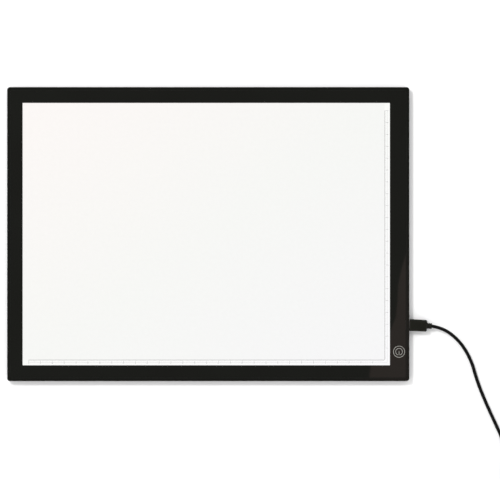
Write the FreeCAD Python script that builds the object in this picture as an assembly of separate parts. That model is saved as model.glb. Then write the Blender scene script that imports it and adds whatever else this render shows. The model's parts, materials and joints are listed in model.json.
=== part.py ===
"""A slim A4 tracing light pad and its USB power lead, written as one STEP file per piece.

Millimetres. +X runs along the pad towards its socket, +Y away from the person drawing and +Z up.
The origin lies on the table, under the middle of the pad.
"""
import FreeCAD, Part
import math
import os

V = FreeCAD.Vector

# The lit window and the black border round it set the size of the pad
WINDOW_LENGTH = 309.4
WINDOW_WIDTH = 221.0
BORDER_LEFT = 13.1
BORDER_RIGHT = 16.4
BORDER_BACK = 13.4
BORDER_FRONT = 13.4
RIGHT = (BORDER_LEFT + WINDOW_LENGTH + BORDER_RIGHT) / 2
BACK = (BORDER_FRONT + WINDOW_WIDTH + BORDER_BACK) / 2
LEFT = -RIGHT
FRONT = -BACK
WINDOW_LEFT = LEFT + BORDER_LEFT
WINDOW_RIGHT = RIGHT - BORDER_RIGHT
WINDOW_FRONT = FRONT + BORDER_FRONT
WINDOW_BACK = BACK - BORDER_BACK

# Heights above the table
FOOT_HEIGHT = 1.2
BODY_THICKNESS = 5.0
FLOOR_THICKNESS = 1.0
PANEL_THICKNESS = 1.4
PRINT_THICKNESS = 0.1
TAPE_THICKNESS = 0.1
UNDERSIDE = FOOT_HEIGHT
FLOOR = UNDERSIDE + FLOOR_THICKNESS
TOP = UNDERSIDE + BODY_THICKNESS
PANEL_TOP = TOP - PRINT_THICKNESS
PANEL_BOTTOM = PANEL_TOP - PANEL_THICKNESS
LEDGE = PANEL_BOTTOM - TAPE_THICKNESS

# Back cover
CORNER_RADIUS = 2.4
RIM_WIDTH = 2.9
RIM_ROUND = 0.4
UNDERSIDE_ROUND = 1.0
PANEL_GAP = 0.1
PANEL_CORNER = 1.2
INNER_WALL = 1.6
RIB_THICKNESS = 1.0
RIB_SPACING = 40.0
LEAD_GAP = 10.0

# Light guide stack, from the floor up
REFLECTOR_THICKNESS = 0.2
GUIDE_THICKNESS = 2.0
DIFFUSER_THICKNESS = 0.25
GUIDE_OVERLAP = 3.0
GUIDE_OVERLAP_RIGHT = 2.4
GUIDE_PLAY = 0.3
GUIDE_LEFT = WINDOW_LEFT - GUIDE_OVERLAP
GUIDE_RIGHT = WINDOW_RIGHT + GUIDE_OVERLAP_RIGHT
GUIDE_FRONT = WINDOW_FRONT - GUIDE_OVERLAP
GUIDE_BACK = WINDOW_BACK + GUIDE_OVERLAP
GUIDE_BOTTOM = FLOOR + REFLECTOR_THICKNESS

# LED strip, on edge behind the light guide
LED_COUNT = 60
LED_PITCH = 5.0
LED_LENGTH = 3.5
LED_HEIGHT = 1.5
LED_DEPTH = 0.7
LED_GAP = 0.1
STRIP_THICKNESS = 0.6
STRIP_HEIGHT = 2.0
STRIP_MARGIN = 4.0
LED_FRONT = GUIDE_BACK + LED_GAP
STRIP_FRONT = LED_FRONT + LED_DEPTH
STRIP_BACK = STRIP_FRONT + STRIP_THICKNESS
STRIP_END = LED_COUNT * LED_PITCH / 2 + STRIP_MARGIN

# Leads from the control board to the strip; they turn into it in three equal steps of 30 degrees
LEAD_DIAMETER = 0.9
LEAD_TURN_STEP = 2.75

# Bay that holds the light guide and the strip
BAY_LEFT = GUIDE_LEFT - GUIDE_PLAY
BAY_RIGHT = GUIDE_RIGHT + GUIDE_PLAY
BAY_FRONT = GUIDE_FRONT - GUIDE_PLAY
BAY_BACK = STRIP_BACK + TAPE_THICKNESS

# Control board, in the wide right border
TOUCH_FROM_RIGHT = 8.65
TOUCH_FROM_FRONT = 24.8
TOUCH_X = RIGHT - TOUCH_FROM_RIGHT
TOUCH_Y = FRONT + TOUCH_FROM_FRONT
TOUCH_PAD_DIAMETER = 6.0
BOARD_THICKNESS = 0.8
BOARD_TAPE_THICKNESS = 0.3
BOARD_BOTTOM = FLOOR + BOARD_TAPE_THICKNESS
BOARD_TOP = BOARD_BOTTOM + BOARD_THICKNESS
BOARD_LEFT = BAY_RIGHT + INNER_WALL + 0.25
BOARD_RIGHT = RIGHT - RIM_WIDTH - 0.45
BOARD_FRONT = TOUCH_Y - 11.0
BOARD_BACK = TOUCH_Y + 35.5
POST_DIAMETER = 2.0
POST_HOLE_DIAMETER = 2.3
POSTS = [(BOARD_RIGHT - 2.0, BOARD_FRONT + 3.0), (BOARD_RIGHT - 1.9, BOARD_BACK - 2.6)]

# Micro-USB socket and plug: sizes are those of the plug's metal shell, grown for the rest
PORT_Y = FRONT + 47.3
PORT_Z = BOARD_TOP + 0.1
PLUG_WIDTH = 6.8
PLUG_HEIGHT = 1.75
PLUG_CORNER_CUT = 0.6
PLUG_SHEET = 0.25
PLUG_PLAY = 0.075
SOCKET_SHEET = 0.3
SOCKET_LENGTH = 5.6
SOCKET_BLOCK = 1.0
SOCKET_MOUTH = RIGHT - 0.6
SOCKET_BACK = SOCKET_MOUTH - SOCKET_LENGTH
SOCKET_CLEARANCE = 0.1
TONGUE_WIDTH = 3.9
TONGUE_THICKNESS = 0.5
TONGUE_LENGTH = 3.6
CONTACT_COUNT = 5
CONTACT_PITCH = 0.65
CONTACT_WIDTH = 0.3
CONTACT_THICKNESS = 0.1
CONTACT_GAP = 0.05
PLUG_TIP = SOCKET_BACK + SOCKET_BLOCK + 0.15
LATCH_OFFSET = 2.0

# Power lead: the jacket's route from the strain relief to the coil, chosen by hand
CABLE_DIAMETER = 2.8
CABLE_ROUTE = [
    (188.4, -77.6, 3.4),
    (198.2, -79.1, 3.4),
    (212.3, -90.2, 2.0),
    (221.9, -106.0, 1.4),
    (226.8, -123.8, 1.4),
    (233.7, -141.0, 1.4),
    (241.2, -157.5, 1.4),
    (248.0, -172.0, 1.4),
    (251.4, -186.0, 1.6),
    (251.78, -200.0, 2.0),
]

# Put-away coil: the turns run in flat spirals, one layer on another, inside two twist ties
COIL_X = 272.0
COIL_Y = -200.0
COIL_TURNS = 13.5
COIL_LAYERS = 4
COIL_MIDDLE_RADIUS = 5.5 * CABLE_DIAMETER
TURN_PITCH = 1.02 * CABLE_DIAMETER
COIL_SPREAD = TURN_PITCH * COIL_TURNS / COIL_LAYERS
COIL_OUTSIDE = COIL_MIDDLE_RADIUS + COIL_SPREAD / 2 + CABLE_DIAMETER / 2
COIL_INSIDE = COIL_MIDDLE_RADIUS - COIL_SPREAD / 2 - CABLE_DIAMETER / 2
COIL_ROUND = 2.0
TIE_THICKNESS = 0.6
TIE_WIDTH = 4.0
COIL_HEIGHT = TIE_THICKNESS + CABLE_DIAMETER + TURN_PITCH * (COIL_LAYERS - 1)

# End of the lead: from the coil's top outer turn down to the USB-A plug, which lies beside the coil
USB_A_X = COIL_X + 20.0
USB_A_THICKNESS = 8.0
TAIL_ROUTE = [
    (292.22, -200.0, 10.57),
    (292.5, -187.5, 9.9),
    (292.0, -174.0, 4.0),
    (292.0, -163.0, 4.0),
]

# Plug mouldings, as (distance along the plug, width, thickness)
PLUG_FACE_X = RIGHT + 0.5
PLUG_MOULDING = [(0.0, 9.6, 6.0), (0.4, 10.0, 6.4), (13.7, 9.8, 6.2), (14.4, 8.6, 5.4)]
PLUG_MOULDING_ROUND = 1.7
RELIEF_DIAMETERS = (5.3, 5.0)
RELIEF_GROOVE_DEPTH = 0.3
USB_A_MOULDING = [(0.0, 11.0, 6.2), (2.6, 15.2, 7.8), (19.2, 15.6, USB_A_THICKNESS), (20.0, 15.0, 7.4)]
USB_A_MOULDING_ROUND = 2.2
USB_A_RELIEF_LENGTH = 10.0
USB_A_RELIEF_DIAMETERS = (4.4, 6.0)
USB_A_LENGTH = 12.0
USB_A_WIDTH = 12.0
USB_A_HEIGHT = 4.5
USB_A_SHEET = 0.3

# Rubber feet
FOOT_DIAMETER = 10.0
FOOT_RECESS = 0.3
FOOT_INSET = 18.0
FOOT_ROUND = 0.5

os.makedirs("parts", exist_ok=True)


def save(node, *solids):
    """Writes one node; several solids make a group in one file."""
    shape = solids[0] if len(solids) == 1 else Part.makeCompound(list(solids))
    shape.exportStep(f"parts/{node}.step")


def box(x0, y0, z0, x1, y1, z1):
    return Part.makeBox(x1 - x0, y1 - y0, z1 - z0, V(x0, y0, z0))


def disc(x, y, z0, z1, diameter):
    return Part.makeCylinder(diameter / 2, z1 - z0, V(x, y, z0))


def centred_box(x, y, z0, length, width, height):
    return box(x - length / 2, y - width / 2, z0, x + length / 2, y + width / 2, z0 + height)


def edges_at(solid, height):
    """Edges of a solid that lie wholly at one height."""
    return [e for e in solid.Edges if all(abs(v.Z - height) < 0.001 for v in e.Vertexes)]


def plate(x0, y0, x1, y1, z0, z1, radius):
    """Flat plate with rounded corners."""
    solid = box(x0, y0, z0, x1, y1, z1)
    uprights = [e for e in solid.Edges if abs(e.Vertexes[0].Z - e.Vertexes[-1].Z) > (z1 - z0) / 2]
    return solid.makeFillet(radius, uprights)


def ring_of_walls(x0, y0, x1, y1, z0, z1, thickness):
    """Four walls round a rectangle, standing outside it."""
    outside = box(x0 - thickness, y0 - thickness, z0, x1 + thickness, y1 + thickness, z1)
    return outside.cut(box(x0, y0, z0, x1, y1, z1))


def port_solid(grow, x0, x1):
    """Bar along X with the plug shell's outline, moved outwards by grow, its lower corners cut off."""
    half = PLUG_WIDTH / 2 + grow
    top = PORT_Z + PLUG_HEIGHT / 2 + grow
    bottom = PORT_Z - PLUG_HEIGHT / 2 - grow
    cut = PLUG_CORNER_CUT + grow * (2 - math.sqrt(2))
    outline = [(-half, top), (half, top), (half, bottom + cut), (half - cut, bottom)]
    outline += [(cut - half, bottom), (-half, bottom + cut), (-half, top)]
    wire = Part.makePolygon([V(x0, PORT_Y + y, z) for y, z in outline])
    return Part.Face(wire).extrude(V(x1 - x0, 0, 0))


def contact_offsets(count, pitch):
    return [(i - (count - 1) / 2) * pitch for i in range(count)]


def rounded_outline(x, width, thickness, radius):
    """Closed outline across X with four rounded corners."""
    bar = Part.makeBox(1, width, thickness, V(x, -width / 2, -thickness / 2))
    bar = bar.makeFillet(radius, [e for e in bar.Edges if abs(e.Vertexes[0].X - e.Vertexes[-1].X) > 0.5])
    end = min(bar.Faces, key=lambda face: face.CenterOfMass.x)
    return end.OuterWire


def moulding(sections, radius):
    """Plug moulding along +X through its sections."""
    outlines = [rounded_outline(x, width, thickness, radius) for x, width, thickness in sections]
    return Part.makeLoft(outlines, True, True)


def strain_relief(start_x, length, first_diameter, last_diameter, grooves):
    """Cone along +X with grooves that let it flex."""
    cone = Part.makeCone(first_diameter / 2, last_diameter / 2, length, V(start_x, 0, 0), V(1, 0, 0))
    groove_width = length / (2 * grooves + 1)
    core = min(first_diameter, last_diameter) / 2 - RELIEF_GROOVE_DEPTH
    for i in range(grooves):
        start = V(start_x + groove_width * (2 * i + 1), 0, 0)
        outer = Part.makeCylinder(first_diameter + last_diameter, groove_width, start, V(1, 0, 0))
        cone = cone.cut(outer.cut(Part.makeCylinder(core, groove_width, start, V(1, 0, 0))))
    return cone


def placed(shape, point, angle):
    """Shape built along +X from the origin, turned about Z and moved to its place."""
    turned = shape.copy()
    turned.Placement = FreeCAD.Placement(V(*point), FreeCAD.Rotation(V(0, 0, 1), angle))
    return turned


def rounded_path(points):
    """Straight runs joined by tangent arcs, as large as the shorter run at each point allows."""
    points = [V(*p) for p in points]
    edges = []
    radii = []
    here = points[0]
    for before, corner, after in zip(points, points[1:], points[2:]):
        back = before - corner
        ahead = after - corner
        reach = 0.45 * min(back.Length, ahead.Length)
        half_turn = (math.pi - back.getAngle(ahead)) / 2
        radius = reach / math.tan(half_turn)
        back.normalize()
        ahead.normalize()
        inward = back + ahead
        inward.normalize()
        start = corner + back * reach
        middle = corner + inward * (radius / math.cos(half_turn) - radius)
        end = corner + ahead * reach
        edges.append(Part.LineSegment(here, start).toShape())
        edges.append(Part.Arc(start, middle, end).toShape())
        radii.append(radius)
        here = end
    edges.append(Part.LineSegment(here, points[-1]).toShape())
    return Part.Wire(edges), radii


def tube(name, points, diameter):
    """Round solid along a route; prints its length, its radii and how well its volume agrees."""
    path, radii = rounded_path(points)
    first = V(*points[1]) - V(*points[0])
    outline = Part.Wire(Part.makeCircle(diameter / 2, V(*points[0]), first))
    solid = path.makePipeShell([outline], True, False)
    expected = math.pi * diameter ** 2 / 4 * path.Length
    print(f"{name}: length {path.Length:.1f}, volume ratio {solid.Volume / expected:.5f},",
          "radii", [round(r, 1) for r in radii])
    return solid, path.Length


def foot_places():
    """Four corners and the middle of both long sides."""
    y = BACK - FOOT_INSET
    for x in (LEFT + FOOT_INSET, 0.0, RIGHT - FOOT_INSET):
        yield x, -y
        yield x, y


def make_back_cover():
    cover = plate(LEFT, FRONT, RIGHT, BACK, UNDERSIDE, TOP, CORNER_RADIUS)
    inside = plate(LEFT + RIM_WIDTH, FRONT + RIM_WIDTH, RIGHT - RIM_WIDTH, BACK - RIM_WIDTH,
                   FLOOR, TOP + 1, PANEL_CORNER + PANEL_GAP)
    cover = cover.cut(inside)
    cover = cover.makeFillet(RIM_ROUND, edges_at(cover, TOP))
    cover = cover.makeFillet(UNDERSIDE_ROUND, edges_at(cover, UNDERSIDE))
    walls = ring_of_walls(BAY_LEFT, BAY_FRONT, BAY_RIGHT, BAY_BACK, FLOOR, LEDGE, INNER_WALL)
    lead_gap = box(BAY_RIGHT - 1, BAY_BACK - LEAD_GAP, FLOOR, BAY_RIGHT + INNER_WALL + 1, BAY_BACK, TOP)
    additions = [walls.cut(lead_gap)]
    for i in range(-3, 4):
        x = i * RIB_SPACING
        rib_end = x + RIB_THICKNESS
        additions.append(box(x, FRONT + RIM_WIDTH, FLOOR, rib_end, BAY_FRONT - INNER_WALL, LEDGE))
        additions.append(box(x, BAY_BACK + INNER_WALL, FLOOR, rib_end, BACK - RIM_WIDTH, LEDGE))
    for i in range(-2, 3):
        y = i * RIB_SPACING
        rib_end = y + RIB_THICKNESS
        additions.append(box(LEFT + RIM_WIDTH, y, FLOOR, BAY_LEFT - INNER_WALL, rib_end, LEDGE))
    for x, y in POSTS:
        additions.append(disc(x, y, FLOOR, BOARD_TOP + 0.4, POST_DIAMETER))
    cover = cover.fuse(additions).removeSplitter()
    cover = cover.cut(port_solid(PLUG_PLAY + SOCKET_SHEET + SOCKET_CLEARANCE, SOCKET_BACK, RIGHT + 1))
    for x, y in foot_places():
        cover = cover.cut(disc(x, y, UNDERSIDE, UNDERSIDE + FOOT_RECESS, FOOT_DIAMETER + 0.3))
    save("back_cover", cover)


def make_feet():
    feet = []
    for x, y in foot_places():
        foot = disc(x, y, 0, UNDERSIDE + FOOT_RECESS, FOOT_DIAMETER)
        feet.append(foot.makeFillet(FOOT_ROUND, edges_at(foot, 0)))
    save("rubber_feet", *feet)


def make_front():
    """Milky panel, the print let in round its window and the tape that bonds it to the inner walls."""
    inset = RIM_WIDTH + PANEL_GAP
    outline = (LEFT + inset, FRONT + inset, RIGHT - inset, BACK - inset)
    panel = plate(*outline, PANEL_BOTTOM, PANEL_TOP, PANEL_CORNER)
    sheet = plate(*outline, PANEL_TOP, TOP, PANEL_CORNER)
    window = box(WINDOW_LEFT, WINDOW_FRONT, PANEL_TOP, WINDOW_RIGHT, WINDOW_BACK, TOP)
    save("front_panel", panel.fuse(window).removeSplitter())
    save("border_print", sheet.cut(window))
    margin = (INNER_WALL - 1.2) / 2
    tape = ring_of_walls(BAY_LEFT - margin, BAY_FRONT - margin, BAY_RIGHT + margin, BAY_BACK + margin,
                         LEDGE, PANEL_BOTTOM, INNER_WALL - 2 * margin)
    save("panel_tape", tape)


def make_light_stack():
    layers = {
        "reflector_sheet": (FLOOR, REFLECTOR_THICKNESS),
        "light_guide": (GUIDE_BOTTOM, GUIDE_THICKNESS),
        "diffuser_film": (GUIDE_BOTTOM + GUIDE_THICKNESS, DIFFUSER_THICKNESS),
    }
    for node, (bottom, thickness) in layers.items():
        save(node, box(GUIDE_LEFT, GUIDE_FRONT, bottom, GUIDE_RIGHT, GUIDE_BACK, bottom + thickness))


def make_led_strip():
    strip_bottom = GUIDE_BOTTOM + (GUIDE_THICKNESS - STRIP_HEIGHT) / 2
    led_bottom = GUIDE_BOTTOM + (GUIDE_THICKNESS - LED_HEIGHT) / 2
    strip_top = strip_bottom + STRIP_HEIGHT
    save("led_strip_board", box(-STRIP_END, STRIP_FRONT, strip_bottom, STRIP_END, STRIP_BACK, strip_top))
    save("led_strip_tape", box(-STRIP_END, STRIP_BACK, strip_bottom, STRIP_END, BAY_BACK, strip_top))
    centre_y = (LED_FRONT + STRIP_FRONT) / 2
    leds = []
    for i in range(LED_COUNT):
        x = (i + 0.5 - LED_COUNT / 2) * LED_PITCH
        leds.append(centred_box(x, centre_y, led_bottom, LED_LENGTH, LED_DEPTH, LED_HEIGHT))
    save("leds", *leds)


def make_control_board():
    board = box(BOARD_LEFT, BOARD_FRONT, BOARD_BOTTOM, BOARD_RIGHT, BOARD_BACK, BOARD_TOP)
    notch_half = PLUG_WIDTH / 2 + PLUG_PLAY + SOCKET_SHEET + SOCKET_CLEARANCE
    board = board.cut(box(SOCKET_BACK - 0.15, PORT_Y - notch_half, BOARD_BOTTOM,
                          BOARD_RIGHT, PORT_Y + notch_half, BOARD_TOP))
    for x, y in POSTS:
        board = board.cut(disc(x, y, BOARD_BOTTOM, BOARD_TOP, POST_HOLE_DIAMETER))
    save("control_board", board)
    tape_x = BOARD_LEFT + 2.4
    save("board_tape",
         centred_box(tape_x, BOARD_FRONT + 11, FLOOR, 3.6, 18, BOARD_TAPE_THICKNESS),
         centred_box(tape_x, BOARD_BACK - 9, FLOOR, 3.6, 14, BOARD_TAPE_THICKNESS))
    save("touch_foam", disc(TOUCH_X, TOUCH_Y, BOARD_TOP, PANEL_BOTTOM, TOUCH_PAD_DIAMETER))
    chip_y = TOUCH_Y + 11.5
    save("touch_chip", chip(TOUCH_X, chip_y, 1.6, 2.9, 1.1, [-0.95, 0, 0.95], [-0.95, 0, 0.95]))
    save("dimmer_transistor", chip(TOUCH_X + 2.2, BOARD_BACK - 6.1, 1.3, 2.9, 1.0, [0], [-0.95, 0.95]))
    capacitors = [(0.8, 6.6), (-1.4, 15.4), (1.2, 15.4), (-1.2, 18.6)]
    save_chips("board_capacitors", capacitors, 0.8)
    resistors = [(-2.0, 6.6), (3.2, 6.6), (-2.0, 21.6), (-2.0, 24.6), (-2.0, 27.4)]
    save_chips("board_resistors", resistors, 0.45)


def save_chips(node, places, height):
    """Group of small two-ended chips, at places counted from the touch pad."""
    save(node, *[centred_box(TOUCH_X + x, TOUCH_Y + y, BOARD_TOP, 0.8, 1.6, height) for x, y in places])


def chip(x, y, width, length, height, left_legs, right_legs):
    """Small moulded chip on the board with flat legs along its two long sides."""
    body = centred_box(x, y, BOARD_TOP + 0.1, width, length, height - 0.1)
    legs = [(-1, leg) for leg in left_legs] + [(1, leg) for leg in right_legs]
    for side, leg in legs:
        body = body.fuse(centred_box(x + side * (width / 2 + 0.2), y + leg, BOARD_TOP, 0.8, 0.4, 0.2))
    return body.removeSplitter()


def make_socket():
    grow_in = PLUG_PLAY
    grow_out = PLUG_PLAY + SOCKET_SHEET
    hollow = port_solid(grow_in, SOCKET_BACK, SOCKET_MOUTH)
    shell = port_solid(grow_out, SOCKET_BACK, SOCKET_MOUTH).cut(hollow)
    side = PLUG_WIDTH / 2 + grow_out
    for sign in (-1, 1):
        for x in (SOCKET_BACK + 0.3, SOCKET_BACK + 1.7):
            tab_y = PORT_Y + sign * (side + 0.375)
            shell = shell.fuse(centred_box(x + 0.45, tab_y, BOARD_TOP, 0.9, 1.05, 0.3))
    save("socket_shell", shell.removeSplitter())
    block_front = SOCKET_BACK + SOCKET_BLOCK
    block = port_solid(grow_in, SOCKET_BACK, block_front)
    tongue = box(block_front, PORT_Y - TONGUE_WIDTH / 2, PORT_Z,
                 block_front + TONGUE_LENGTH, PORT_Y + TONGUE_WIDTH / 2, PORT_Z + TONGUE_THICKNESS)
    contacts = []
    for offset in contact_offsets(CONTACT_COUNT, CONTACT_PITCH):
        start = PORT_Y + offset - CONTACT_WIDTH / 2
        contacts.append(box(SOCKET_BACK - 1.2, start, PORT_Z - CONTACT_THICKNESS,
                            block_front + TONGUE_LENGTH - 0.3, start + CONTACT_WIDTH, PORT_Z))
    save("socket_contacts", *contacts)
    save("socket_tongue", block.fuse(tongue).removeSplitter().cut(Part.makeCompound(contacts)))


def make_leads():
    """Two insulated leads from the board to the LED strip, held down by strips of tape."""
    on_board = BOARD_TOP + LEAD_DIAMETER / 2
    on_floor = FLOOR + LEAD_DIAMETER / 2
    pad_y = BOARD_BACK - 3.4
    strip_y = STRIP_BACK - LEAD_DIAMETER / 2 - 0.02
    step = LEAD_TURN_STEP
    turn = [(step * 2.366, -step * 1.366), (step * 1.866, -step * 0.5), (step, 0), (0, 0)]
    leads = {
        "lead_positive": (TOUCH_X - 2.2, STRIP_END + turn[0][0], on_floor + 1.2),
        "lead_negative": (TOUCH_X - 0.6, STRIP_END + turn[0][0] + 1.6, on_floor),
    }
    joints = []
    for node, (pad_x, floor_x, strip_height) in leads.items():
        points = [
            (pad_x, pad_y, on_board),
            (pad_x, pad_y + 5, on_board),
            (floor_x, pad_y + 14, on_floor),
            (floor_x, BAY_BACK - 16, on_floor),
        ]
        points += [(STRIP_END + x, strip_y + y, strip_height) for x, y in turn]
        lead, _ = tube(node, points, LEAD_DIAMETER)
        save(node, lead)
        joints.append(centred_box(pad_x, pad_y - 0.6, BOARD_TOP, 1.2, 1.2, 0.7))
        joints.append(box(STRIP_END - 1.2, STRIP_FRONT - 0.6, strip_height - 0.3,
                          STRIP_END, STRIP_FRONT, strip_height + 0.3))
    save("solder_joints", *joints)
    tape_x = STRIP_END + turn[0][0] + 0.8
    tape_bottom = FLOOR + LEAD_DIAMETER
    tapes = [centred_box(tape_x, y, tape_bottom, 5.0, 8.0, TAPE_THICKNESS) for y in (-25, 20, 65)]
    save("lead_tapes", *tapes)


def plug_angle():
    """Lean of the plug's moulding, towards the end of its strain relief."""
    return math.degrees(math.atan2(CABLE_ROUTE[0][1] - PORT_Y, CABLE_ROUTE[0][0] - PLUG_FACE_X))


def make_plug():
    shell_end = PLUG_FACE_X + 3.0
    shell = port_solid(0, PLUG_TIP, shell_end).cut(port_solid(-PLUG_SHEET, PLUG_TIP, shell_end))
    outside_bottom = PORT_Z - PLUG_HEIGHT / 2
    latches = []
    for sign in (-1, 1):
        y = PORT_Y + sign * LATCH_OFFSET
        shell = shell.cut(box(PLUG_TIP + 1.0, y - 0.5, outside_bottom,
                              PLUG_TIP + 3.4, y + 0.5, outside_bottom + PLUG_SHEET))
        latches.append(box(PLUG_TIP + 1.1, y - 0.4, outside_bottom,
                           PLUG_TIP + 3.4, y + 0.4, outside_bottom + 0.2))
    save("plug_shell", shell)
    save("plug_latches", *latches)
    insert_top = PORT_Z - CONTACT_THICKNESS - CONTACT_GAP - CONTACT_THICKNESS
    rear_start = SOCKET_MOUTH - 0.3
    filling = port_solid(-PLUG_SHEET, PLUG_TIP + 0.2, shell_end)
    side = PLUG_WIDTH / 2
    room = box(PLUG_TIP, PORT_Y - side, insert_top, rear_start, PORT_Y + side, PORT_Z + PLUG_HEIGHT)
    save("plug_insert", filling.cut(room))
    contacts = []
    for offset in contact_offsets(CONTACT_COUNT, CONTACT_PITCH):
        start = PORT_Y + offset - CONTACT_WIDTH / 2
        contacts.append(box(PLUG_TIP + 0.5, start, insert_top,
                            rear_start, start + CONTACT_WIDTH, insert_top + CONTACT_THICKNESS))
    save("plug_contacts", *contacts)
    angle = plug_angle()
    face = (PLUG_FACE_X, PORT_Y, PORT_Z)
    body = placed(moulding(PLUG_MOULDING, PLUG_MOULDING_ROUND), face, angle)
    save("plug_moulding", body.cut(port_solid(0, PLUG_TIP, shell_end)))
    moulding_length = PLUG_MOULDING[-1][0]
    relief_length = (V(*CABLE_ROUTE[0]) - V(*face)).Length - moulding_length
    relief = strain_relief(moulding_length, relief_length, *RELIEF_DIAMETERS, 2)
    save("plug_strain_relief", placed(relief, face, angle))


def tie_solid(middle_y, half, bottom, top, radius):
    """Bar along X, as wide as a twist tie, with the rounded outline that the tie follows."""
    bar = box(COIL_X - TIE_WIDTH / 2, middle_y - half, bottom, COIL_X + TIE_WIDTH / 2, middle_y + half, top)
    return bar.makeFillet(radius, [e for e in bar.Edges if abs(e.Vertexes[0].X - e.Vertexes[-1].X) > 1])


def make_cable():
    run, run_length = tube("cable_run", CABLE_ROUTE, CABLE_DIAMETER)
    tail, tail_length = tube("cable_tail", TAIL_ROUTE, CABLE_DIAMETER)
    save("cable_run", run)
    save("cable_tail", tail)
    coil_length = COIL_TURNS * 2 * math.pi * COIL_MIDDLE_RADIUS
    print(f"jacket length in all: {run_length + coil_length + tail_length:.0f}")
    coil = disc(COIL_X, COIL_Y, 0, COIL_HEIGHT, 2 * COIL_OUTSIDE)
    coil = coil.cut(disc(COIL_X, COIL_Y, 0, COIL_HEIGHT, 2 * COIL_INSIDE))
    coil = coil.makeFillet(COIL_ROUND, edges_at(coil, COIL_HEIGHT) + edges_at(coil, 0))
    ties = []
    half = COIL_SPREAD / 2 + CABLE_DIAMETER / 2
    for sign in (-1, 1):
        middle_y = COIL_Y + sign * COIL_MIDDLE_RADIUS
        outer = tie_solid(middle_y, half + TIE_THICKNESS, 0, COIL_HEIGHT + TIE_THICKNESS, COIL_ROUND)
        inner = tie_solid(middle_y, half, TIE_THICKNESS, COIL_HEIGHT, COIL_ROUND - TIE_THICKNESS)
        ties.append(outer.cut(inner))
    save("cable_ties", *ties)
    save("cable_coil", coil.cut(Part.makeCompound(ties)))


def make_usb_a():
    relief_at = TAIL_ROUTE[-1]
    relief = strain_relief(0, USB_A_RELIEF_LENGTH, *USB_A_RELIEF_DIAMETERS, 4)
    save("usb_a_strain_relief", placed(relief, relief_at, 90))
    body_at = (relief_at[0], relief_at[1] + USB_A_RELIEF_LENGTH, relief_at[2])
    body_length = USB_A_MOULDING[-1][0]
    half_width = USB_A_WIDTH / 2
    half_height = USB_A_HEIGHT / 2
    embedded = 4.0
    shell_start = body_length - embedded
    tip = body_length + USB_A_LENGTH
    outside = box(shell_start, -half_width, -half_height, tip, half_width, half_height)
    inner_half_width = half_width - USB_A_SHEET
    inner_half_height = half_height - USB_A_SHEET
    inside = box(shell_start, -inner_half_width, -inner_half_height,
                 tip, inner_half_width, inner_half_height)
    body = moulding(USB_A_MOULDING, USB_A_MOULDING_ROUND).cut(outside)
    save("usb_a_moulding", placed(body, body_at, 90))
    shell = outside.cut(inside)
    for y in (-2.6, 2.6):
        shell = shell.cut(centred_box(body_length + 3.5, y, -half_height - 1, 2.2, 2.2, USB_A_HEIGHT + 2))
    save("usb_a_shell", placed(shell, body_at, 90))
    insert = box(shell_start, -inner_half_width, -inner_half_height,
                 body_length, inner_half_width, inner_half_height)
    tongue = box(body_length, -inner_half_width, 0.0, tip - 0.4, inner_half_width, inner_half_height)
    contacts = []
    for y in (-3.5, -1.0, 1.0, 3.5):
        contacts.append(box(body_length, y - 0.5, -0.15, tip - 1.4, y + 0.5, 0.0))
    save("usb_a_insert", placed(insert.fuse(tongue).removeSplitter(), body_at, 90))
    save("usb_a_contacts", *[placed(c, body_at, 90) for c in contacts])


make_back_cover()
make_feet()
make_front()
make_light_stack()
make_led_strip()
make_control_board()
make_socket()
make_leads()
make_plug()
make_cable()
make_usb_a()
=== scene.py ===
"""Looks of the light pad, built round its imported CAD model.

Metres, in the frame of the CAD model: +X towards the socket, +Z up, the origin on the table under the pad.
"""
import json
import math

import bmesh
import bpy
from mathutils import Matrix, Vector


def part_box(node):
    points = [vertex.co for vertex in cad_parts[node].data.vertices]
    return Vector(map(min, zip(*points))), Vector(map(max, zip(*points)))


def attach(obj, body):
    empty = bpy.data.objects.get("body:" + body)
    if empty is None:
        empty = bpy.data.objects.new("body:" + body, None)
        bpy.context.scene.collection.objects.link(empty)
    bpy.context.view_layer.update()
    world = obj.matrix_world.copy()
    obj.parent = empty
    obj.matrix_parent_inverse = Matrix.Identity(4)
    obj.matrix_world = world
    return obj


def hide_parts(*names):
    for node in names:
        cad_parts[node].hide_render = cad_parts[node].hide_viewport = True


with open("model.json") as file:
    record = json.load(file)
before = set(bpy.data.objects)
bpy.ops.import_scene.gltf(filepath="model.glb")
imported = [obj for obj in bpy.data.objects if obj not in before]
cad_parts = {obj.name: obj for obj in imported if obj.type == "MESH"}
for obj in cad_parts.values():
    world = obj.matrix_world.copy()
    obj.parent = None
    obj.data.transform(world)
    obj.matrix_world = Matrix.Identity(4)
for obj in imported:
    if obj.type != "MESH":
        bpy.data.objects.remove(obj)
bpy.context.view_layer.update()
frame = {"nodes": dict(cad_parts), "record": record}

MM = 0.001
PAD = "pad"
LEAD = "usb_cable"
PAD_LOW, PAD_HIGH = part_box("back_cover")
PANEL_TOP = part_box("front_panel")[1].z
PRINT_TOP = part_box("border_print")[1].z

# Camera, straight above the table; the width that it sees is measured at the top of the pad
VIEW_WIDTH = 421.25 * MM
VIEW_CENTRE = Vector((35.2 * MM, -13.4 * MM))
LENS = 200.0
SENSOR = 36.0

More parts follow.
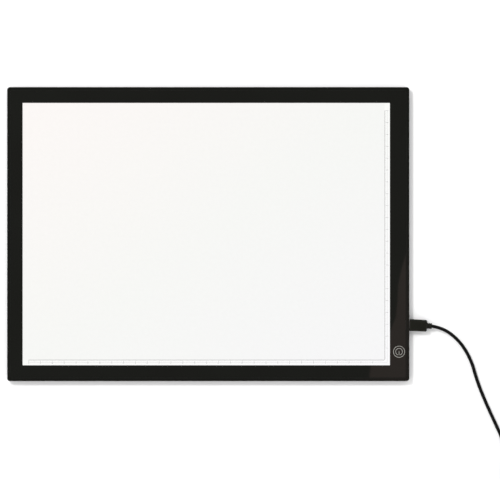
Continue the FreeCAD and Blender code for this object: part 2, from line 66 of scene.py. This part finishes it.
# Power lead: the route of the CAD model's tube, then the coil's turns, then the way to the USB-A plug
CABLE_DIAMETER = 2.8 * MM
CABLE_NODES = ("cable_run", "cable_coil", "cable_tail")
CABLE_ROUTE = [
    (0.1884, -0.0776, 0.0034),
    (0.1982, -0.0791, 0.0034),
    (0.2123, -0.0902, 0.0020),
    (0.2219, -0.1060, 0.0014),
    (0.2268, -0.1238, 0.0014),
    (0.2337, -0.1410, 0.0014),
    (0.2412, -0.1575, 0.0014),
    (0.2480, -0.1720, 0.0014),
    (0.2514, -0.1860, 0.0016),
    (0.25178, -0.2000, 0.0020),
]
TAIL_ROUTE = [
    (0.29222, -0.2000, 0.01057),
    (0.2925, -0.1875, 0.0099),
    (0.2920, -0.1740, 0.0040),
    (0.2920, -0.1630, 0.0040),
]
COIL_CENTRE = Vector((0.272, -0.200, 0.0))
COIL_TURNS = 13.5
COIL_LAYERS = 4
COIL_MIDDLE_RADIUS = 5.5 * CABLE_DIAMETER
TURN_PITCH = 1.02 * CABLE_DIAMETER
COIL_SPREAD = TURN_PITCH * COIL_TURNS / COIL_LAYERS
TIE_THICKNESS = 0.6 * MM
POINTS_PER_TURN = 16
LAYER_CLIMB = 0.3

# Printed scales, counted from the corner where both start
SCALE_ZERO = Vector((148.65 * MM, -105.99 * MM))
LONG_SCALE = 300
SHORT_SCALE = 210
INK_THICKNESS = 0.02 * MM
BASE_LINE = 0.20 * MM
OUTER_LINE = 0.10 * MM
OUTER_LINE_OFFSET = 2.15 * MM
TICK_WIDTH = 0.16 * MM
TICK_LENGTHS = {10: 2.6 * MM, 5: 1.1 * MM, 1: 0.85 * MM}
DIGIT_HEIGHT = 0.8 * MM
DIGIT_THINNING = 0.02 * MM
DIGIT_OFFSET = 2.9 * MM

# A digit's height as a share of its font size
FONT_DIGIT_SHARE = 0.73

# Touch mark
TOUCH_CENTRE = (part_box("touch_foam")[0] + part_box("touch_foam")[1]) / 2
RING_RADIUS = 4.95 * MM
RING_WIDTH = 0.45 * MM
POWER_RADIUS = 3.07 * MM
POWER_WIDTH = 0.45 * MM
POWER_GAP = math.radians(15)
POWER_BAR = (-2.8 * MM, 0.6 * MM)

# Light of the panel: its strength, what the strip beyond the scales adds, and its tint from the rear left
# corner to the front right one
PANEL_GLOW = 0.5
STRIP_GLOW = 0.055
PANEL_TINTS = (
    (0.08, (0.990, 0.905, 0.876)),
    (0.50, (0.937, 0.932, 0.904)),
    (0.92, (0.962, 0.948, 0.974)),
)

# Studio: a small key light, a soft surround that darkens overhead, and a card overhead that only the lower
# right of the glossy frame mirrors; its outline follows the edge of that reflection
TABLE_HALF = 3.0
KEY_WAY = Vector((-0.55, 0.61, 1.0)).normalized()
KEY_DISTANCE = 3.0
KEY_SIZE = 0.5
KEY_POWER = 43.0
SURROUND_STRENGTH = 1.46
SURROUND_SHADES = ((0.0, 0.9), (0.5, 0.95), (0.86, 0.75), (0.97, 0.08), (1.0, 0.045))
CARD_HEIGHT = 2.5
CARD_OUTLINE = [
    (0.307, -0.019),
    (0.298, -0.050),
    (0.293, -0.075),
    (0.292, -0.100),
    (0.289, -0.130),
    (0.270, -0.180),
    (0.246, -0.212),
    (0.242, -0.240),
    (0.240, -0.300),
    (0.460, -0.300),
    (0.460, -0.010),
]
CARD_GLOW = (0.415, 0.31, 0.285)


def add_object(name, data):
    made = bpy.data.objects.new(name, data)
    bpy.context.scene.collection.objects.link(made)
    return made


def make_camera():
    distance = VIEW_WIDTH * LENS / SENSOR
    data = bpy.data.cameras.new("camera")
    data.lens = LENS
    data.sensor_width = SENSOR
    data.clip_start = 0.05
    data.clip_end = 20
    camera = add_object("camera", data)
    camera.location = (VIEW_CENTRE.x, VIEW_CENTRE.y, PRINT_TOP + distance)
    bpy.context.scene.camera = camera


class Look:
    """A material being wired: a Principled shader and short calls for the nodes that feed it."""

    def __init__(self, name, **constants):
        self.name = name
        self.material = bpy.data.materials.new(name)
        self.material.use_nodes = True
        self.nodes = self.material.node_tree.nodes
        self.links = self.material.node_tree.links
        self.shader = self.nodes["Principled BSDF"]
        self.place = self.node("ShaderNodeTexCoord").outputs["Object"]
        for socket, value in constants.items():
            self.shader.inputs[socket.replace("_", " ")].default_value = value

    def node(self, kind, **settings):
        made = self.nodes.new(kind)
        for key, value in settings.items():
            setattr(made, key, value)
        return made

    def wire(self, source, target):
        self.links.new(source, target)

    def feed(self, socket, source):
        self.wire(source, self.shader.inputs[socket])

    def stretched(self, scale):
        """The object's coordinates, stretched by a factor along each axis."""
        mapping = self.node("ShaderNodeMapping")
        mapping.inputs["Scale"].default_value = scale
        self.wire(self.place, mapping.inputs["Vector"])
        return mapping.outputs["Vector"]

    def noise(self, size, detail=3.0, vector=None):
        """Cloudy noise whose blobs are about this many metres across."""
        noise = self.node("ShaderNodeTexNoise")
        noise.inputs["Scale"].default_value = 1 / size
        noise.inputs["Detail"].default_value = detail
        self.wire(vector or self.place, noise.inputs["Vector"])
        return noise.outputs["Fac"]

    def ramp(self, source, *stops):
        """Colour ramp from (position, colour) stops."""
        ramp = self.node("ShaderNodeValToRGB")
        elements = ramp.color_ramp.elements
        while len(elements) < len(stops):
            elements.new(0.5)
        for element, (position, color) in zip(elements, stops):
            element.position = position
            element.color = (*color, 1)
        self.wire(source, ramp.inputs["Fac"])
        return ramp.outputs["Color"]

    def spread(self, source, low, high, from_low=0.3, from_high=0.7):
        """Value spread over a new range."""
        spread = self.node("ShaderNodeMapRange")
        spread.inputs["From Min"].default_value = from_low
        spread.inputs["From Max"].default_value = from_high
        spread.inputs["To Min"].default_value = low
        spread.inputs["To Max"].default_value = high
        self.wire(source, spread.inputs["Value"])
        return spread.outputs["Result"]

    def math(self, operation, first, second=None):
        made = self.node("ShaderNodeMath", operation=operation)
        for socket, value in zip(made.inputs, (first, second)):
            if isinstance(value, (int, float)):
                socket.default_value = value
            elif value is not None:
                self.wire(value, socket)
        return made.outputs["Value"]

    def axes(self):
        split = self.node("ShaderNodeSeparateXYZ")
        self.wire(self.place, split.inputs["Vector"])
        return split.outputs

    def mottle(self, patch, dark, light):
        """Base colour that drifts between two colours in patches of this size."""
        self.feed("Base Color", self.ramp(self.noise(patch), (0.3, dark), (0.7, light)))

    def bump(self, height, distance):
        bump = self.node("ShaderNodeBump")
        bump.inputs["Distance"].default_value = distance
        bump.inputs["Strength"].default_value = 1.0
        self.wire(height, bump.inputs["Height"])
        self.feed("Normal", bump.outputs["Normal"])


def grey(value):
    return (value, value, value)


def moulded(name, dark, light, roughness, grain, grain_depth, patch=9 * MM, **constants):
    """Moulded plastic, rubber or film: faint cloudy colour, uneven gloss and a fine grain."""
    look = Look(name, **constants)
    look.mottle(patch, dark, light)
    look.feed("Roughness", look.spread(look.noise(patch * 0.6), *roughness))
    look.bump(look.noise(grain, 2.0), grain_depth)
    return look


def metal(name, color, roughness):
    """Rolled or stamped sheet with fine lines along X."""
    look = Look(name, Metallic=1.0)
    lines = look.noise(1.5 * MM, 4.0, look.stretched((1, 12, 12)))
    tint = tuple(0.82 * c for c in color)
    look.feed("Base Color", look.ramp(lines, (0.3, tint), (0.7, color)))
    look.feed("Roughness", look.spread(lines, *roughness))
    look.bump(lines, 0.01 * MM)
    return look


def print_black():
    """Screen print under a clear gloss; the gloss alone mirrors the studio."""
    look = Look("border_black", Coat_Weight=1.0, Coat_Roughness=0.016, Specular_IOR_Level=0.0)
    look.mottle(60 * MM, (0.0065, 0.0066, 0.0055), (0.0072, 0.0076, 0.0063))
    look.feed("Roughness", look.spread(look.noise(25 * MM), 0.3, 0.45))
    look.bump(look.noise(0.8 * MM, 2.0), 0.0004 * MM)
    return look


def cover_plastic():
    """Polished rim and sides; the underside has a spark-eroded grain."""
    look = Look("cover_plastic", Specular_IOR_Level=0.24)
    look.mottle(20 * MM, (0.0057, 0.0059, 0.0048), (0.0067, 0.0070, 0.0058))
    height = look.axes()["Z"]
    under = look.spread(height, 1.0, 0.0, 1.25 * MM, 1.9 * MM)
    rough = look.math("MULTIPLY", under, 0.3)
    look.feed("Roughness", look.math("ADD", rough, look.spread(look.noise(12 * MM), 0.05, 0.09)))
    grain = look.math("MULTIPLY", look.noise(0.5 * MM, 3.0), look.spread(under, 0.05, 1.0, 0.0, 1.0))
    look.bump(grain, 0.05 * MM)
    return look


def lit_panel():
    """Milky acrylic lit from below inside the window, slightly brighter beyond the scales' base lines."""
    look = Look("opal_acrylic", Coat_Weight=0.6, Coat_Roughness=0.12, Roughness=0.4)
    place = look.axes()
    across = look.spread(place["X"], 0.0, 1.0, PAD_LOW.x, PAD_HIGH.x)
    up = look.spread(place["Y"], 1.0, 0.0, PAD_LOW.y, PAD_HIGH.y)
    diagonal = look.math("MULTIPLY", look.math("ADD", across, up), 0.5)
    look.feed("Emission Color", look.ramp(diagonal, *PANEL_TINTS))
    beyond_right = look.math("GREATER_THAN", place["X"], SCALE_ZERO.x)
    beyond_front = look.math("LESS_THAN", place["Y"], SCALE_ZERO.y)
    beyond = look.math("MAXIMUM", beyond_right, beyond_front)
    in_window = look.math("GREATER_THAN", place["Z"], PANEL_TOP - 0.05 * MM)
    glow = look.math("ADD", look.math("MULTIPLY", beyond, STRIP_GLOW), PANEL_GLOW)
    look.feed("Emission Strength", look.math("MULTIPLY", in_window, glow))
    look.mottle(3 * MM, (0.325, 0.33, 0.325), (0.335, 0.34, 0.335))
    look.bump(look.noise(0.3 * MM, 2.0), 0.0006 * MM)
    return look


def make_materials():
    """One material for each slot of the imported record."""
    looks = [
        print_black(),
        cover_plastic(),
        lit_panel(),
        moulded("guide_acrylic", grey(0.9), grey(0.95), (0.02, 0.05), 2 * MM, 0.002 * MM,
                Transmission_Weight=0.9, IOR=1.49),
        moulded("white_film", grey(0.82), grey(0.86), (0.45, 0.6), 0.4 * MM, 0.004 * MM),
        moulded("adhesive", grey(0.55), grey(0.64), (0.5, 0.7), 0.5 * MM, 0.01 * MM),
        moulded("strip_board", grey(0.72), grey(0.78), (0.3, 0.4), 0.6 * MM, 0.004 * MM),
        moulded("led_resin", (0.8, 0.55, 0.08), (0.86, 0.62, 0.12), (0.3, 0.45), 0.4 * MM, 0.01 * MM),
        moulded("green_board", (0.01, 0.10, 0.035), (0.015, 0.13, 0.05), (0.25, 0.35), 0.8 * MM, 0.01 * MM,
                patch=1.2 * MM),
        moulded("chip_resin", grey(0.012), grey(0.02), (0.5, 0.65), 0.2 * MM, 0.01 * MM),
        moulded("capacitor_body", (0.35, 0.22, 0.11), (0.42, 0.28, 0.15), (0.4, 0.5), 0.3 * MM, 0.01 * MM),
        moulded("resistor_body", grey(0.015), grey(0.03), (0.2, 0.3), 0.3 * MM, 0.01 * MM),
        metal("stamped_steel", (0.62, 0.61, 0.58), (0.22, 0.38)),
        metal("gold_contact", (0.85, 0.62, 0.28), (0.18, 0.3)),
        moulded("black_insulator", grey(0.010), grey(0.016), (0.4, 0.55), 0.2 * MM, 0.01 * MM),
        moulded("white_insulator", grey(0.66), grey(0.74), (0.35, 0.5), 0.3 * MM, 0.01 * MM),
        moulded("conductive_foam", grey(0.08), grey(0.2), (0.5, 0.7), 0.3 * MM, 0.06 * MM),
        metal("solder", (0.7, 0.7, 0.72), (0.12, 0.25)),
        moulded("red_pvc", (0.30, 0.010, 0.008), (0.38, 0.016, 0.012), (0.3, 0.45), 0.4 * MM, 0.01 * MM),
        moulded("black_pvc", grey(0.008), grey(0.013), (0.3, 0.45), 0.4 * MM, 0.01 * MM),
        moulded("foot_rubber", grey(0.010), grey(0.020), (0.7, 0.85), 0.25 * MM, 0.03 * MM),
        moulded("jacket", grey(0.0022), grey(0.0034), (0.34, 0.46), 0.35 * MM, 0.012 * MM,
                Specular_IOR_Level=0.06),
        moulded("plug_resin", (0.0048, 0.0048, 0.0026), (0.0066, 0.0066, 0.0038), (0.42, 0.52), 0.22 * MM,
                0.014 * MM, Specular_IOR_Level=0.12),
        moulded("tie_plastic", grey(0.010), grey(0.016), (0.4, 0.5), 0.3 * MM, 0.012 * MM),
        moulded("scale_ink", grey(0.16), grey(0.20), (0.35, 0.5), 0.2 * MM, 0.002 * MM),
        moulded("mark_ink", (0.25, 0.245, 0.225), (0.29, 0.285, 0.26), (0.35, 0.5), 0.2 * MM, 0.002 * MM),
    ]
    return {look.name: look.material for look in looks}


MATERIALS = make_materials()


def finish_cad_nodes():
    """Every CAD node gets the material of its slot."""
    for part in frame["record"]["subparts"]:
        node = frame["nodes"][part["node"]]
        node.data.materials.clear()
        node.data.materials.append(MATERIALS[part["material_slot"]])


def coil_points():
    """Control points of the turns: flat spirals, inwards and outwards in turn, one layer on another."""
    step = 1 / POINTS_PER_TURN
    per_layer = COIL_TURNS / COIL_LAYERS
    outset = 1 / math.cos(math.pi * step)
    outer = COIL_MIDDLE_RADIUS + COIL_SPREAD / 2
    first_height = TIE_THICKNESS + CABLE_DIAMETER / 2
    points = []
    for i in range(1, round(COIL_TURNS * POINTS_PER_TURN)):
        turn = i * step
        layer = min(int(turn / per_layer), COIL_LAYERS - 1)
        inward = turn / per_layer - layer
        if layer % 2:
            inward = 1 - inward
        radius = (outer - inward * COIL_SPREAD) * outset
        into_layer = turn - layer * per_layer
        climb = 0.0 if layer == 0 else min(into_layer / LAYER_CLIMB, 1.0) - 1.0
        angle = math.pi * (1 + 2 * turn)
        height = first_height + (layer + climb) * TURN_PITCH
        points.append(COIL_CENTRE + Vector((radius * math.cos(angle), radius * math.sin(angle), height)))
    return points


def make_cable():
    curve = bpy.data.curves.new("power_cable", "CURVE")
    curve.dimensions = "3D"
    # the points' own radius gives the thickness, so the curve's box is right too
    curve.bevel_depth = 1.0
    curve.bevel_resolution = 5
    curve.resolution_u = 6
    curve.use_fill_caps = True
    route = [Vector(p) for p in CABLE_ROUTE] + coil_points() + [Vector(p) for p in TAIL_ROUTE]
    spline = curve.splines.new("NURBS")
    spline.points.add(len(route) - 1)
    for point, place in zip(spline.points, route):
        point.co = (*place, 1)
        point.radius = CABLE_DIAMETER / 2
    spline.order_u = 3
    spline.use_endpoint_u = True
    curve.materials.append(MATERIALS["jacket"])
    cable = add_object("power_cable", curve)
    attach(cable, LEAD)
    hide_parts(*CABLE_NODES)


def add_print(name, mesh, slot):
    """Thin print on the pad, from a bmesh, with the material of its slot."""
    data = bpy.data.meshes.new(name)
    bmesh.ops.recalc_face_normals(mesh, faces=mesh.faces)
    mesh.to_mesh(data)
    mesh.free()
    data.materials.append(MATERIALS[slot])
    piece = add_object(name, data)
    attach(piece, PAD)


def add_slab(mesh, x0, y0, x1, y1, z0, z1):
    """Closed box added to a bmesh."""
    made = bmesh.ops.create_cube(mesh, size=1)
    size = Vector((x1 - x0, y1 - y0, z1 - z0))
    centre = Vector((x0 + x1, y0 + y1, z0 + z1)) / 2
    for vert in made["verts"]:
        vert.co = centre + Vector(a * b for a, b in zip(vert.co, size))


def add_band(mesh, centre, radius, width, z0, z1, start=0.0, sweep=2 * math.pi, steps=96):
    """Flat ring or part of one, added to a bmesh; a whole turn closes on itself."""
    whole = sweep > 2 * math.pi - 0.001
    count = steps if whole else steps + 1
    rows = []
    for i in range(count):
        angle = start + sweep * i / steps
        way = Vector((math.cos(angle), math.sin(angle), 0))
        corners = [(radius, z0), (radius, z1), (radius - width, z1), (radius - width, z0)]
        rows.append([mesh.verts.new(centre + way * r + Vector((0, 0, z))) for r, z in corners])
    pairs = list(zip(rows, rows[1:]))
    if whole:
        pairs.append((rows[-1], rows[0]))
    for row, following in pairs:
        for i in range(4):
            mesh.faces.new((row[i], row[(i + 1) % 4], following[(i + 1) % 4], following[i]))
    if not whole:
        mesh.faces.new(rows[0])
        mesh.faces.new(list(reversed(rows[-1])))


def tick_length(millimetres):
    return next(length for step, length in TICK_LENGTHS.items() if millimetres % step == 0)


def add_number(mesh, text, centre):
    """Number in thin print, added to a bmesh.

    The scales read from the pad's far side, so it is turned half round.
    """
    curve = bpy.data.curves.new("number", "FONT")
    curve.body = text
    curve.align_x = "CENTER"
    curve.align_y = "CENTER"
    curve.size = DIGIT_HEIGHT / FONT_DIGIT_SHARE
    curve.extrude = INK_THICKNESS / 2
    curve.offset = -DIGIT_THINNING
    curve.resolution_u = 3
    holder = add_object("number", curve)
    holder.matrix_world = Matrix.Translation(centre) @ Matrix.Rotation(math.pi, 4, "Z")
    bpy.context.view_layer.update()
    flat = bpy.data.meshes.new_from_object(holder.evaluated_get(bpy.context.evaluated_depsgraph_get()))
    flat.transform(holder.matrix_world)
    mesh.from_mesh(flat)
    bpy.data.objects.remove(holder)
    bpy.data.curves.remove(curve)
    bpy.data.meshes.remove(flat)


def make_scales():
    """Two lines with centimetre ticks across them, short millimetre ticks and numbers, on both sides."""
    mesh = bmesh.new()
    z0 = PANEL_TOP
    z1 = PANEL_TOP + INK_THICKNESS
    middle = (z0 + z1) / 2
    zero_x, zero_y = SCALE_ZERO
    half = TICK_WIDTH / 2
    for offset, width in ((0.0, BASE_LINE), (OUTER_LINE_OFFSET, OUTER_LINE)):
        x = zero_x + offset
        y = zero_y - offset
        add_slab(mesh, zero_x - LONG_SCALE * MM, y - width / 2, x + width / 2, y + width / 2, z0, z1)
        add_slab(mesh, x - width / 2, y + width / 2, x + width / 2, zero_y + SHORT_SCALE * MM, z0, z1)
    for i in range(1, LONG_SCALE + 1):
        x = zero_x - i * MM
        add_slab(mesh, x - half, zero_y - tick_length(i), x + half, zero_y, z0, z1)
        if i % 10 == 0:
            add_number(mesh, str(i // 10), Vector((x, zero_y - DIGIT_OFFSET, middle)))
    for i in range(1, SHORT_SCALE + 1):
        y = zero_y + i * MM
        add_slab(mesh, zero_x, y - half, zero_x + tick_length(i), y + half, z0, z1)
        if i % 10 == 0:
            add_number(mesh, str(i // 10), Vector((zero_x + DIGIT_OFFSET, y, middle)))
    add_print("scale_print", mesh, "scale_ink")


def make_touch_mark():
    """Ring and power mark over the touch pad; it reads from the pad's far side, like the scales."""
    mesh = bmesh.new()
    centre = Vector((TOUCH_CENTRE.x, TOUCH_CENTRE.y, 0))
    z0 = PRINT_TOP
    z1 = PRINT_TOP + INK_THICKNESS
    add_band(mesh, centre, RING_RADIUS, RING_WIDTH, z0, z1)
    start = -math.pi / 2 + POWER_GAP
    add_band(mesh, centre, POWER_RADIUS, POWER_WIDTH, z0, z1, start, 2 * math.pi - 2 * POWER_GAP, 64)
    low, high = POWER_BAR
    half = POWER_WIDTH / 2
    add_slab(mesh, centre.x - half, centre.y + low, centre.x + half, centre.y + high, z0, z1)
    add_print("touch_mark", mesh, "mark_ink")


def make_stage():
    mesh = bmesh.new()
    bmesh.ops.create_grid(mesh, x_segments=2, y_segments=2, size=TABLE_HALF)
    data = bpy.data.meshes.new("table_top")
    mesh.to_mesh(data)
    mesh.free()
    floor = add_object("table_top", data)
    look = moulded("table_white", grey(0.90), grey(0.905), (0.7, 0.8), 2 * MM, 0.01 * MM, patch=0.3,
                   Specular_IOR_Level=0.0)
    data.materials.append(look.material)


def make_card():
    mesh = bmesh.new()
    mesh.faces.new([mesh.verts.new((x, y, CARD_HEIGHT)) for x, y in CARD_OUTLINE])
    data = bpy.data.meshes.new("studio_card")
    mesh.to_mesh(data)
    mesh.free()
    card = add_object("studio_card", data)
    look = Look("card_glow", Emission_Strength=1.0, Specular_IOR_Level=0.0)
    dimmer = tuple(0.9 * c for c in CARD_GLOW)
    look.feed("Emission Color", look.ramp(look.noise(0.3), (0.3, dimmer), (0.7, CARD_GLOW)))
    look.shader.inputs["Base Color"].default_value = (0, 0, 0, 1)
    data.materials.append(look.material)


def make_key_light():
    data = bpy.data.lights.new("key", "AREA")
    data.shape = "SQUARE"
    data.size = KEY_SIZE
    data.energy = KEY_POWER
    light = add_object("key", data)
    light.location = KEY_WAY * KEY_DISTANCE
    light.rotation_mode = "QUATERNION"
    light.rotation_quaternion = (-KEY_WAY).to_track_quat("-Z", "Y")


def make_surround():
    """World light: the same all round, shaded only from the horizon up to straight overhead."""
    world = bpy.data.worlds.new("studio")
    world.use_nodes = True
    bpy.context.scene.world = world
    nodes = world.node_tree.nodes
    links = world.node_tree.links
    place = nodes.new("ShaderNodeTexCoord")
    split = nodes.new("ShaderNodeSeparateXYZ")
    ramp = nodes.new("ShaderNodeValToRGB")
    elements = ramp.color_ramp.elements
    while len(elements) < len(SURROUND_SHADES):
        elements.new(0.5)
    for element, (position, shade) in zip(elements, SURROUND_SHADES):
        element.position = position
        element.color = (*grey(shade), 1)
    links.new(place.outputs["Generated"], split.inputs["Vector"])
    links.new(split.outputs["Z"], ramp.inputs["Fac"])
    links.new(ramp.outputs["Color"], nodes["Background"].inputs["Color"])
    nodes["Background"].inputs["Strength"].default_value = SURROUND_STRENGTH


make_camera()
make_cable()
finish_cad_nodes()
make_scales()
make_touch_mark()
make_stage()
make_card()
make_key_light()
make_surround()
bpy.context.scene.view_settings.view_transform = "Standard"
bpy.context.view_layer.update()
